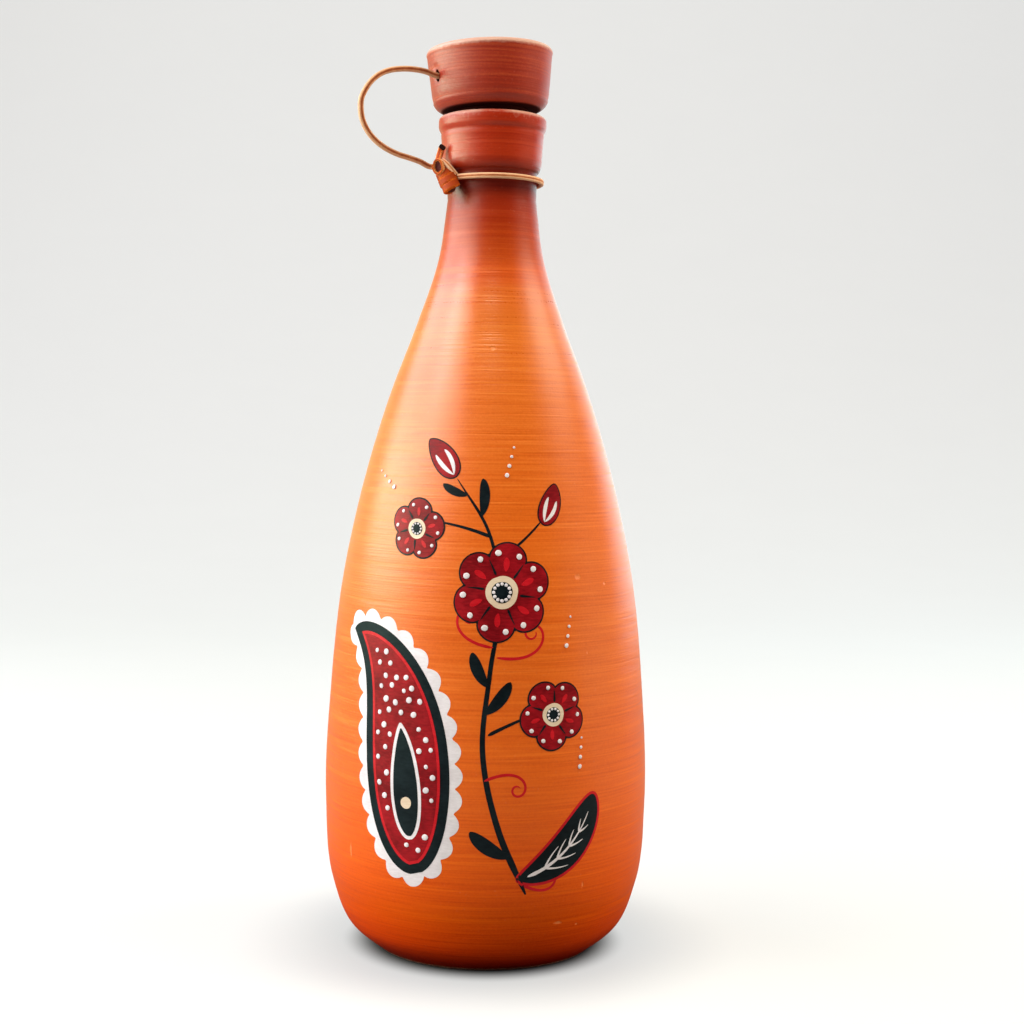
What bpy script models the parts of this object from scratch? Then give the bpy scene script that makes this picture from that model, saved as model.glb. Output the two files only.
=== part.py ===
"""Clay water bottle, thrown on the wheel, with a clay stopper tied to its neck.

For Blender 4.5, lengths in metres, Z up. The bottle stands on z = 0 with its axis on Z,
its decorated side faces -Y, and the stopper's cord hangs out on the -X side.
"""

import math

import bpy
import numpy as np
from mathutils import Matrix, Vector

# Outside of the body, foot to neck: height and radius of each ring that fixes the thrown curve
foot_radius = 0.0370
heel_height = 0.008
heel_radius = 0.0463
hip_height = 0.022
hip_radius = 0.0519
belly_height = 0.048
belly_radius = 0.0544
flank_height = 0.088
flank_radius = 0.0529
chest_height = 0.124
chest_radius = 0.0491
shoulder_height = 0.155
shoulder_radius = 0.0426
slope_height = 0.185
slope_radius = 0.0338
throat_height = 0.210
throat_radius = 0.0245
nape_height = 0.230
nape_radius = 0.0180
neck_height = 0.250
neck_radius = 0.0151
neck_top_radius = 0.0153

# Collar at the mouth: a tapered band with a scored line low down and a bead under the lip
collar_bottom = 0.2590
collar_height = 0.0186
collar_low_radius = 0.0167
collar_high_radius = 0.0175
collar_foot_height = 0.0018
collar_foot_round = 0.0009
score_rise = 0.0058
score_depth = 0.0003
bead_height = 0.0043
bead_radius = 0.0183
bead_groove = 0.0010
lip_round = 0.0014

# Inside of the bottle
wall = 0.0050
floor_thickness = 0.0065
bore_radius = 0.0110

# Stopper: a shallow cup for a head, and a tapered plug under it
head_gap = 0.0022
head_height = 0.0202
head_bottom_radius = 0.0178
bevel_height = 0.0047
bevel_radius = 0.0197
bottom_edge_round = 0.0008
head_top_radius = 0.0213
head_lip_round = 0.0016
cup_depth = 0.0145
cup_wall = 0.0048
cup_corner = 0.0035
plug_length = 0.0180
plug_top_radius = 0.0123
plug_end_radius = 0.0105
plug_end_round = 0.0015
stopper_lean = math.radians(2.0)
seat_clearance = 0.0003

# Leather cord: the hole for it in the stopper, the loop round the neck, and the knots
cord_radius = 0.0009
cord_gap = 0.0003
cord_hole_radius = 0.0016
cord_hole_rise = 0.0103
cord_hole_azimuth = math.radians(57)
loop_height = 0.2562
knot_azimuth = math.radians(55)
knot_height = 0.2566
knot_radius = 0.0030
knot_length = 0.0112
knot_tilt = math.radians(55)
knot_wraps = 3
wrap_depth = 0.0005
knot_end_share = 0.94
knot_end_taper = 0.62
end_knot_radius = 0.0026
end_knot_length = 0.0056
end_knot_wraps = 2
loop_front_reach = math.radians(11)
loop_back_reach = math.radians(11)
tether_end_azimuth = math.radians(85)
tether_end_out = 0.0028
tether_end_drop = 0.0012
bow_azimuth = math.radians(62)

# Fineness of the turned surfaces
bottle_steps = 64
stopper_steps = 52
knot_steps = 16
outer_rings = 30
inner_rings = 18

# Places that follow from the sizes above
rim_height = collar_bottom + collar_height
head_bottom = rim_height + head_gap
pivot_height = head_bottom - plug_length
head_top = plug_length + head_height
stopper_lean_turn = Matrix.Rotation(-stopper_lean, 4, "Y")
stopper_place = Matrix.Translation((0, 0, pivot_height)) @ stopper_lean_turn


def clear_scene():
    for thing in list(bpy.data.objects):
        bpy.data.objects.remove(thing, do_unlink=True)


def finish(name, colour, roughness):
    material = bpy.data.materials.new(name)
    material.use_nodes = True
    shader = material.node_tree.nodes["Principled BSDF"]
    shader.inputs["Base Color"].default_value = (*colour, 1)
    shader.inputs["Roughness"].default_value = roughness
    material.diffuse_color = (*colour, 1)
    return material


def arc(centre, size, start, end, count):
    """Points of an elliptical arc in the (radius, height) plane, angles in degrees from +radius."""
    angles = np.radians(np.linspace(start, end, count))
    return [(centre[0] + size[0] * math.cos(a), centre[1] + size[1] * math.sin(a)) for a in angles]


def smooth_curve(stations, count):
    """Evenly parted points on the smooth curve through stations, one cubic between each two."""
    stations = np.array(stations, float)
    place = np.concatenate([[0], np.cumsum(np.linalg.norm(np.diff(stations, axis=0), axis=1))])
    slope = np.gradient(stations, place, axis=0)
    points = []
    for s in np.linspace(0, place[-1], count):
        k = min(int(np.searchsorted(place, s, side="right")) - 1, len(place) - 2)
        span = place[k + 1] - place[k]
        t = (s - place[k]) / span
        points.append(
            (2 * t**3 - 3 * t**2 + 1) * stations[k]
            + (t**3 - 2 * t**2 + t) * span * slope[k]
            + (3 * t**2 - 2 * t**3) * stations[k + 1]
            + (t**3 - t**2) * span * slope[k + 1]
        )
    return np.array(points)


def turned(name, outline, steps, material, place=None):
    """A solid of revolution, its outline given from one point on the axis round to another."""
    mesh = bpy.data.meshes.new(name)
    edges = [(k, k + 1) for k in range(len(outline) - 1)]
    mesh.from_pydata([(r, 0, z) for r, z in outline], edges, [])
    mesh.materials.append(material)
    made = bpy.data.objects.new(name, mesh)
    bpy.context.collection.objects.link(made)
    screw = made.modifiers.new("turn", "SCREW")
    screw.axis = "Z"
    screw.angle = math.tau
    screw.steps = steps
    screw.render_steps = steps
    screw.use_merge_vertices = True
    screw.merge_threshold = 0.00001
    screw.use_smooth_shade = True
    made.matrix_world = place or Matrix.Identity(4)
    return made


def cord(name, route, material):
    """A round cord along the route's points, with its two ends closed."""
    curve = bpy.data.curves.new(name, "CURVE")
    curve.dimensions = "3D"
    curve.bevel_depth = cord_radius
    curve.bevel_resolution = 2
    curve.use_fill_caps = True
    spline = curve.splines.new("POLY")
    spline.points.add(len(route) - 1)
    for point, at in zip(spline.points, route):
        point.co = (*at, 1)
    spline.use_smooth = True
    curve.materials.append(material)
    made = bpy.data.objects.new(name, curve)
    bpy.context.collection.objects.link(made)
    return made


def around(azimuth, radius, height):
    """The point at this azimuth, counted from the front (-Y) towards the left (-X)."""
    return Vector((-radius * math.sin(azimuth), -radius * math.cos(azimuth), height))


def body_curve(rings):
    """Outside of the body from the foot up to the narrowest ring of the neck."""
    stations = [
        (foot_radius, 0),
        (heel_radius, heel_height),
        (hip_radius, hip_height),
        (belly_radius, belly_height),
        (flank_radius, flank_height),
        (chest_radius, chest_height),
        (shoulder_radius, shoulder_height),
        (slope_radius, slope_height),
        (throat_radius, throat_height),
        (nape_radius, nape_height),
        (neck_radius, neck_height),
    ]
    return smooth_curve(stations, rings)


def collar_outline():
    """Outside of the collar from the neck up to the top of the lip."""
    foot_top = collar_bottom + collar_foot_height
    bead_bottom = rim_height - bead_height
    score = collar_bottom + score_rise
    taper = (collar_high_radius - collar_low_radius) / (bead_bottom - foot_top)
    score_radius = collar_low_radius + taper * (score - foot_top)
    points = [(neck_top_radius, collar_bottom)]
    foot = (collar_foot_round, collar_foot_height)
    points += arc((collar_low_radius - collar_foot_round, foot_top), foot, -75, 0, 4)
    points += [
        (score_radius, score - score_depth),
        (score_radius - score_depth, score),
        (score_radius, score + score_depth),
        (collar_high_radius, bead_bottom - bead_groove / 2),
        (collar_high_radius - bead_groove / 3, bead_bottom),
    ]
    bead = (bead_groove, bead_groove)
    points += arc((bead_radius - bead_groove, bead_bottom + bead_groove), bead, -60, 0, 3)
    lip = (lip_round, lip_round)
    points += arc((bead_radius - lip_round, rim_height - lip_round), lip, 10, 90, 5)
    return points


def seat_radius(height):
    """Inside of the mouth: the plug's taper, opened for its clearance and its lean."""
    share = (height - pivot_height) / plug_length
    plug = plug_end_radius + (plug_top_radius - plug_end_radius) * share
    return plug + seat_clearance + (height - pivot_height) * math.sin(stopper_lean)


def bottle_inside():
    """Inside of the bottle from the centre of its floor up to the mouth."""
    outer = body_curve(inner_rings)
    run = np.gradient(outer, axis=0)
    inward = np.stack([-run[:, 1], run[:, 0]], axis=1)
    inner = outer + wall * inward / np.linalg.norm(inward, axis=1)[:, None]
    kept = [tuple(p) for p in inner if p[1] > floor_thickness + wall / 2 and p[0] > bore_radius]
    corner_radius = kept[0][0] - wall
    points = [(0, floor_thickness), (corner_radius / 2, floor_thickness)]
    points += [(corner_radius, floor_thickness)]
    points += kept
    points += [(bore_radius, neck_height), (bore_radius, pivot_height - 2 * plug_end_round)]
    mouth = rim_height - lip_round / 2
    points += [(seat_radius(pivot_height), pivot_height - plug_end_round / 2)]
    points += [(seat_radius(mouth), mouth)]
    return points


def make_bottle(material):
    inside = bottle_inside()
    outside = [tuple(p) for p in body_curve(outer_rings)] + collar_outline()
    mouth_edge = inside[-1][0] + lip_round / 2
    outline = inside + [(mouth_edge, rim_height)] + outside[::-1]
    outline += [(foot_radius / 2, 0), (0, 0)]
    return turned("bottle", outline, bottle_steps, material)


def head_radius(height):
    """Outside of the head where it tapers, at this height over the plug's end."""
    bevel_top = plug_length + bevel_height
    share = (height - bevel_top) / (head_top - bevel_top)
    return bevel_radius + share * (head_top_radius - bevel_radius)


def make_stopper(material):
    """Head and plug turned in one piece about the plug's own axis, then pierced for the cord."""
    cup_floor = head_top - cup_depth
    corner_height = cup_floor + cup_corner
    corner_radius = head_radius(corner_height) - cup_wall - cup_corner
    lip = (head_lip_round, head_lip_round)
    lip_height = head_top - head_lip_round
    lip_inside = head_radius(lip_height) - cup_wall + head_lip_round
    bevel_top = plug_length + bevel_height
    middle = (bevel_top + head_top) / 2
    outline = [(0, cup_floor), (corner_radius / 2, cup_floor)]
    outline += arc((corner_radius, corner_height), (cup_corner, cup_corner), -90, -5, 5)
    outline += arc((lip_inside, lip_height), lip, 175, 90, 4)
    outline += arc((head_top_radius - head_lip_round, lip_height), lip, 90, -5, 6)
    outline += [(head_radius(middle), middle), (bevel_radius, bevel_top)]
    edge = (bottom_edge_round, bottom_edge_round)
    edge_centre = (head_bottom_radius - bottom_edge_round, plug_length + bottom_edge_round)
    outline += arc(edge_centre, edge, -20, -90, 4)
    outline += [
        (plug_top_radius + bottom_edge_round, plug_length),
        (plug_top_radius, plug_length - bottom_edge_round),
    ]
    end = (plug_end_round, plug_end_round)
    outline += arc((plug_end_radius - plug_end_round, plug_end_round), end, 0, -90, 4)
    outline += [(plug_end_radius / 2, 0), (0, 0)]
    stopper = turned("stopper", outline, stopper_steps, material, stopper_place)

    cutter = cord_hole_cutter()
    cut = stopper.modifiers.new("cord hole", "BOOLEAN")
    cut.operation = "DIFFERENCE"
    cut.object = cutter
    return stopper


def cord_hole():
    """World points where the cord hole's axis leaves the head outside, and meets the cup inside."""
    height = plug_length + cord_hole_rise
    outer = stopper_place @ around(cord_hole_azimuth, head_radius(height), height)
    inner = stopper_place @ around(cord_hole_azimuth, head_radius(height) - cup_wall, height)
    return outer, inner


def placed(centre, along):
    """Matrix that stands something at centre with its own Z along this direction."""
    return Matrix.Translation(centre) @ along.to_track_quat("Z", "Y").to_matrix().to_4x4()


def cord_hole_cutter():
    outer, inner = cord_hole()
    bpy.ops.mesh.primitive_cylinder_add(vertices=12, radius=cord_hole_radius, depth=2 * cup_wall)
    cutter = bpy.context.object
    cutter.name = "cord_hole_cutter"
    cutter.matrix_world = placed((outer + inner) / 2, outer - inner)
    cutter.hide_render = True
    cutter.display_type = "WIRE"
    return cutter


def knot_outline(length, radius, wraps):
    """Half outline of a tight knot: one rounded bulge for each wrap of cord, closed at both ends."""
    points = [(0, length / 2)]
    for share in np.linspace(0, 1, 4 * wraps + 1):
        across = knot_end_share * (1 - 2 * share)
        barrel = radius * math.sqrt(1 - knot_end_taper * across**2)
        groove = wrap_depth * (1 + math.cos(math.tau * share * wraps)) / 2
        points.append((barrel - groove, across * length / 2))
    points.append((0, -length / 2))
    return points


def knot_axis():
    """Centre of the neck knot, and the way its axis runs: down towards the front."""
    stand_off = neck_radius + cord_gap + cord_radius + knot_radius
    centre = around(knot_azimuth, stand_off, knot_height)
    sideways = Vector((math.cos(knot_azimuth), -math.sin(knot_azimuth), 0))
    return centre, sideways * math.cos(knot_tilt) + Vector((0, 0, -math.sin(knot_tilt)))


def make_knots(material):
    outline = knot_outline(knot_length, knot_radius, knot_wraps)
    turned("neck_knot", outline, knot_steps, material, placed(*knot_axis()))

    outer, inner = cord_hole()
    inward = (inner - outer).normalized()
    centre = inner + inward * (cord_gap + end_knot_length / 2)
    outline = knot_outline(end_knot_length, end_knot_radius, end_knot_wraps)
    turned("stopper_knot", outline, knot_steps, material, placed(centre, inward))


def make_neck_loop(material):
    """The loop lies against the neck, and ends on both sides of the knot."""
    ring_radius = neck_radius + 2 * cord_gap + cord_radius
    turns = np.linspace(knot_azimuth - loop_front_reach, knot_azimuth + loop_back_reach - math.tau, 40)
    cord("neck_loop", [around(turn, ring_radius, loop_height) for turn in turns], material)


def make_cord_tail(material):
    """The short cut end stands up from the knot, close beside the collar.

    Each station holds its azimuth past the knot's, its gap to the collar and its rise over the knot.
    """
    beside = collar_high_radius + cord_radius
    route = [
        around(knot_azimuth + math.radians(past), beside + gap, knot_height + rise)
        for past, gap, rise in [
            (15, 0.0021, 0.0047),
            (14, 0.0014, 0.0068),
            (11, 0.0005, 0.0086),
            (8, 0.0003, 0.0104),
        ]
    ]
    cord("cord_tail", smooth_curve(route, 6), material)


def make_tether(material):
    """The tether leaves the stopper's hole, bows out to the left and comes back to the knot.

    Each station of the bow holds its share of the way down from hole to knot, and its reach
    outward from the straight line between these two.
    """
    outer, inner = cord_hole()
    centre, along = knot_axis()
    knot_top = centre - along * knot_length / 2
    end = knot_top + around(tether_end_azimuth, tether_end_out, -tether_end_drop)
    bow = [
        (-0.031, 0.0043),
        (-0.038, 0.0089),
        (-0.024, 0.0133),
        (0.003, 0.0168),
        (0.054, 0.0201),
        (0.135, 0.0229),
        (0.240, 0.0250),
        (0.349, 0.0262),
        (0.457, 0.0261),
        (0.572, 0.0252),
        (0.684, 0.0231),
        (0.779, 0.0200),
        (0.850, 0.0162),
        (0.898, 0.0120),
        (0.925, 0.0079),
        (0.956, 0.0039),
    ]
    bow = [outer.lerp(end, share) + around(bow_azimuth, reach, 0) for share, reach in bow]
    cord("tether_cord", smooth_curve([inner, outer, *bow, end], 34), material)


def main():
    clear_scene()
    body_clay = finish("burnished_clay", (0.66, 0.19, 0.075), 0.48)
    stopper_clay = finish("stopper_clay", (0.62, 0.17, 0.07), 0.52)
    leather = finish("leather_cord", (0.58, 0.26, 0.12), 0.62)
    make_bottle(body_clay)
    make_stopper(stopper_clay)
    make_knots(leather)
    make_neck_loop(leather)
    make_cord_tail(leather)
    make_tether(leather)


main()
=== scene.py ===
import math

import bmesh
import bpy
import numpy as np
from mathutils import Matrix, Vector
from mathutils.bvhtree import BVHTree


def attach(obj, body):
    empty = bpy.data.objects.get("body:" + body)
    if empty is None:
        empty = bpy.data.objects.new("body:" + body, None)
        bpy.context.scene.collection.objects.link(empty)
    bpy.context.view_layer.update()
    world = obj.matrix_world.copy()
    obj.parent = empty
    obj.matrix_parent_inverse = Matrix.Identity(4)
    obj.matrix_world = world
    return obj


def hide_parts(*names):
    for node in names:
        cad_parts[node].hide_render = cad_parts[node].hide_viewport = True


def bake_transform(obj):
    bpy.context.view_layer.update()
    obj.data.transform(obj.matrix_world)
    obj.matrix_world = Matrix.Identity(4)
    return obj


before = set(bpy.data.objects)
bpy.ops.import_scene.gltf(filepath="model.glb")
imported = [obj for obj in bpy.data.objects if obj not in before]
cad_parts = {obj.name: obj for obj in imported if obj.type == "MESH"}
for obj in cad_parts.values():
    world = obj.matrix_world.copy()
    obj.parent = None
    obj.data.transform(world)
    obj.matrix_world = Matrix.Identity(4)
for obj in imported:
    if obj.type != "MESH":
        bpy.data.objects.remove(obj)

scene = bpy.context.scene
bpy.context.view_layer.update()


# Camera. It stands a little over half a metre in front of the bottle, at the height of the
# shoulder, tipped slightly down, and sees the bottle just left of the picture's centre.
image_pixels = 1024
focal_pixels = 1654.6
axis_pixel = 488.4
camera_place = Vector((0, -0.560, 0.1726))
camera_tip = math.radians(2.761)
camera_roll = math.radians(0.635)


def new_object(name, data):
    """An object with this data, in the scene."""
    made = bpy.data.objects.new(name, data)
    scene.collection.objects.link(made)
    return made


camera = new_object("camera", bpy.data.cameras.new("camera"))
camera.data.sensor_width = 36
camera.data.lens = 36 * focal_pixels / image_pixels
camera.data.shift_x = 0.5 - axis_pixel / image_pixels
camera.data.clip_start = 0.01
camera.matrix_world = (
    Matrix.Translation(camera_place)
    @ Matrix.Rotation(math.radians(90) - camera_tip, 4, "X")
    @ Matrix.Rotation(camera_roll, 4, "Z")
)
scene.camera = camera
scene.view_settings.view_transform = "Standard"


# Studio. A sweep of white paper is floor and backdrop, under a faint even sky. Oval lamps stand on
# the left, on the right and high in front. What the clay mirrors of the paper is a little green on
# the left and bright as a clear sky on the right.
sweep_depth = 1.6
sweep_front = -1.9
sweep_width = 5.0
sweep_height = 2.4
sweep_bend = 0.8
sky_strength = 0.07
paper_glow = 0.62
back_glow = 1.0
left_glow = (0.66, 1.00, 0.60, 1)
right_glow = (1.8, 2.6, 2.7, 1)
shade_start = 0.036
shade_end = 0.09
glow_end = 0.049


def add(tree, kind, links=None, **settings):
    """Adds a node: settings are its properties, links fills its input sockets by name or number."""
    made = tree.nodes.new(kind)
    for key, value in settings.items():
        setattr(made, key, value)
    for key, value in (links or {}).items():
        if isinstance(value, bpy.types.NodeSocket):
            tree.links.new(value, made.inputs[key])
        else:
            made.inputs[key].default_value = value
    return made


def maths(tree, operation, *values):
    """What a Math node makes of these numbers or sockets."""
    return add(tree, "ShaderNodeMath", dict(enumerate(values)), operation=operation).outputs[0]


def vectors(tree, operation, *values):
    """What a Vector Math node makes of these vectors or sockets."""
    made = add(tree, "ShaderNodeVectorMath", dict(enumerate(values)), operation=operation)
    return made.outputs["Value" if operation == "LENGTH" else "Vector"]


def ranged(tree, value, start=0.0, end=1.0, low=0.0, high=1.0, **settings):
    """The value mapped from start and end to low and high, and held at both."""
    links = {"Value": value, "From Min": start, "From Max": end, "To Min": low, "To Max": high}
    return add(tree, "ShaderNodeMapRange", links, **settings).outputs[0]


def mixed(tree, share, first, second, **settings):
    """A colour that goes from the first to the second as share goes from 0 to 1."""
    links = {0: share, 6: first, 7: second}
    return add(tree, "ShaderNodeMix", links, data_type="RGBA", **settings).outputs[2]


def new_material(name, constants):
    """A Principled material with these plain numbers and colours set on the shader's own sockets."""
    material = bpy.data.materials.new(name)
    material.use_nodes = True
    shader = material.node_tree.nodes["Principled BSDF"]
    for key, value in constants.items():
        shader.inputs[key].default_value = value
    return material, material.node_tree, shader


def paper_material():
    """White paper: it shows white, carries a painted shadow close round the foot, and is mirrored in two
    tints.
    """
    material, tree, shader = new_material("paper", {"Roughness": 0.7})
    grain = add(tree, "ShaderNodeTexNoise", {"Scale": 60.0, "Detail": 3.0}).outputs["Fac"]
    shade = ranged(tree, grain, low=0.27, high=0.29)
    path = add(tree, "ShaderNodeLightPath").outputs
    seen = maths(tree, "MAXIMUM", path["Is Camera Ray"], path["Is Transmission Ray"])
    spot = add(tree, "ShaderNodeTexCoord").outputs["Object"]
    away = vectors(tree, "LENGTH", spot)
    # Painted shadow: close round the foot the paper turns darker and glows less
    under = ranged(tree, away, shade_start, shade_end, low=0.1, interpolation_type="SMOOTHSTEP")
    tree.links.new(maths(tree, "MULTIPLY", shade, under), shader.inputs["Base Color"])
    glow = ranged(tree, away, shade_start, glow_end, high=paper_glow, interpolation_type="SMOOTHSTEP")
    glow = maths(tree, "MULTIPLY", seen, glow)
    split = add(tree, "ShaderNodeSeparateXYZ", {0: spot}).outputs
    upright = ranged(tree, split["Z"], 0.0, 0.1, high=back_glow)
    upright = maths(tree, "MULTIPLY", upright, ranged(tree, split["Z"], 0.4, 0.7, 1.0, 0.5))
    mirrored = maths(tree, "MULTIPLY", path["Is Glossy Ray"], upright)
    tint = mixed(tree, ranged(tree, split["X"], -0.3, 0.5), left_glow, right_glow)
    tint = mixed(tree, path["Is Glossy Ray"], (1, 1, 1, 1), tint)
    tree.links.new(tint, shader.inputs["Emission Color"])
    tree.links.new(maths(tree, "ADD", glow, mirrored), shader.inputs["Emission Strength"])
    return material


world = bpy.data.worlds.new("pale sky")
scene.world = world
world.use_nodes = True
sky = world.node_tree
path = add(sky, "ShaderNodeLightPath").outputs
seen = maths(sky, "MAXIMUM", path["Is Camera Ray"], path["Is Transmission Ray"])
sky.links.new(ranged(sky, seen, low=sky_strength), sky.nodes["Background"].inputs["Strength"])
sky.nodes["Background"].inputs["Color"].default_value = (1, 1, 1, 1)

paper_mesh = bpy.data.meshes.new("sweep")
paper = bmesh.new()
sweep_line = [(sweep_front, 0), (sweep_depth - sweep_bend, 0)]
for turn in np.linspace(-90, 0, 13)[1:]:
    swing = math.radians(turn)
    back, up = sweep_bend * math.cos(swing), sweep_bend * math.sin(swing)
    sweep_line.append((sweep_depth - sweep_bend + back, sweep_bend + up))
sweep_line.append((sweep_depth, sweep_height))
rows = [[paper.verts.new((side * sweep_width / 2, y, z)) for side in (-1, 1)] for y, z in sweep_line]
for near, far in zip(rows, rows[1:]):
    paper.faces.new((near[0], near[1], far[1], far[0])).smooth = True
paper.to_mesh(paper_mesh)
paper_mesh.materials.append(paper_material())
new_object("sweep", paper_mesh)


def soft_lamp(name, place, aim, size, power, colour, mirrored=True, lighting=True):
    """An oval lamp aimed at this height on the axis. It lights the pieces, leaves a highlight, or both."""
    lamp = bpy.data.lights.new(name, "AREA")
    lamp.shape = "ELLIPSE"
    lamp.size, lamp.size_y = size
    lamp.energy = power
    lamp.color = colour
    made = new_object(name, lamp)
    made.visible_glossy = mirrored
    made.visible_diffuse = lighting
    facing = (Vector((0, 0, aim)) - Vector(place)).to_track_quat("-Z", "Y")
    made.matrix_world = Matrix.Translation(place) @ facing.to_matrix().to_4x4()


soft_lamp("left, broad", (-0.92, 0.06, 0.80), 0.20, (1.25, 1.20), 12.0, (0.95, 1, 1.20))
soft_lamp("left, high", (-0.72, -0.52, 0.72), 0.20, (0.70, 0.50), 4.4, (1, 0.98, 0.84))
soft_lamp("left, green", (-0.89, -0.04, 0.34), 0.27, (1.10, 0.30), 5.8, (0.72, 1.16, 0.70), lighting=False)
soft_lamp("left, warm", (-0.89, -0.22, 0.38), 0.22, (1.10, 0.60), 5.6, (1, 0.95, 0.66), mirrored=False)
soft_lamp("right, broad", (0.80, -0.05, 0.98), 0.20, (0.85, 0.70), 10, (1, 0.91, 0.70), mirrored=False)
soft_lamp("right, narrow", (0.90, 0.05, 0.75), 0.20, (0.80, 0.36), 1.9, (1, 1, 0.80))
soft_lamp("right, low", (0.84, -0.02, 0.14), 0.08, (0.70, 0.50), 2.8, (1, 0.92, 0.70), mirrored=False)
soft_lamp("front, high", (0, -0.62, 1.45), 0.12, (0.5, 0.4), 5.6, (1, 0.95, 0.70))


# Bottle. Red clay thrown in one piece on the wheel, from a flat foot up to the collar, then
# trimmed and burnished while leather-hard: fine turning lines run round it everywhere.
skin_inset = 0.0002
foot_radius = 0.0370
body_rings = [
    (foot_radius, 0),
    (0.0463, 0.008),
    (0.0519, 0.022),
    (0.0544, 0.048),
    (0.0529, 0.088),
    (0.0491, 0.124),
    (0.0426, 0.155),
    (0.0338, 0.185),
    (0.0245, 0.210),
    (0.0180, 0.230),
    (0.0151, 0.250),
]
wall = 0.0050
floor_thickness = 0.0065
bore_radius = 0.0110
neck_radius = 0.0151
collar_bottom = 0.2590
rim_height = 0.2776
collar_low_radius = 0.0167
collar_high_radius = 0.0175
bead_radius = 0.0183
bead_height = 0.0050
lip_round = 0.0014
score_height = collar_bottom + 0.0042
mouth_radius = 0.0126
bottle_segments = 240
throwing_depth = 0.00016
throwing_pitch = 0.0042
ring_wander = 12
wear_and_highlight_clay = (0.74, 0.45, 0.36, 1)
painted_shade_clay = (0.012, 0.005, 0.006, 1)
# Marks on the clay: how often in a metre they change along it and up it, and their detail
mark_kinds = [
    ("Fine", 30, 1700, 2.0),
    ("Medium", 20, 520, 2.0),
    ("Broad", 7, 90, 2.0),
    ("Scored", 24, 900, 1.0),
    ("Grain", 1400, 1400, 2.0),
]


def smooth_curve(stations, count):
    """Evenly parted points on the smooth curve through stations, one cubic between each two."""
    stations = np.array(stations, float)
    place = np.concatenate([[0], np.cumsum(np.linalg.norm(np.diff(stations, axis=0), axis=1))])
    slope = np.gradient(stations, place, axis=0)
    points = []
    for s in np.linspace(0, place[-1], count):
        k = min(int(np.searchsorted(place, s, side="right")) - 1, len(place) - 2)
        span = place[k + 1] - place[k]
        t = (s - place[k]) / span
        points.append(
            (2 * t**3 - 3 * t**2 + 1) * stations[k]
            + (t**3 - 2 * t**2 + t) * span * slope[k]
            + (3 * t**2 - 2 * t**3) * stations[k + 1]
            + (t**3 - t**2) * span * slope[k + 1]
        )
    return np.array(points)


def arc(centre, size, start, end, count):
    """Points of an elliptical arc in the (radius, height) plane, angles in degrees from +radius."""
    angles = np.radians(np.linspace(start, end, count))
    return [(centre[0] + size[0] * math.cos(a), centre[1] + size[1] * math.sin(a)) for a in angles]


def line(start, end, count):
    """Points from start up to, not including, end."""
    return [tuple(np.array(start) + (np.array(end) - np.array(start)) * k / count) for k in range(count)]


def geometry_tree(name, **wanted):
    """A Geometry Nodes tree with these inputs and their usual values, and the sockets that bring them."""
    tree = bpy.data.node_groups.new(name, "GeometryNodeTree")
    kinds = {float: "NodeSocketFloat", int: "NodeSocketInt", str: "NodeSocketGeometry"}
    for key, value in wanted.items():
        kind = "NodeSocketMaterial" if value is None else kinds[type(value)]
        made = tree.interface.new_socket(name=key, in_out="INPUT", socket_type=kind)
        if type(value) in (float, int):
            made.default_value = value
    tree.interface.new_socket(name="Geometry", in_out="OUTPUT", socket_type="NodeSocketGeometry")
    return tree, add(tree, "NodeGroupInput").outputs[:len(wanted)]


def close_tree(tree, geometry, material):
    """Ends a Geometry Nodes tree: smooth shading, real geometry and this material."""
    for kind in ("GeometryNodeSetShadeSmooth", "GeometryNodeRealizeInstances"):
        geometry = add(tree, kind, {"Geometry": geometry}).outputs[0]
    links = {"Geometry": geometry, "Material": material}
    add(tree, "NodeGroupOutput", {0: add(tree, "GeometryNodeSetMaterial", links).outputs[0]})
    return tree


def noise(tree, place, scale, detail):
    """Smooth noise from 0 to 1."""
    return add(tree, "ShaderNodeTexNoise", {"Vector": place, "Scale": scale, "Detail": detail}).outputs["Fac"]


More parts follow.
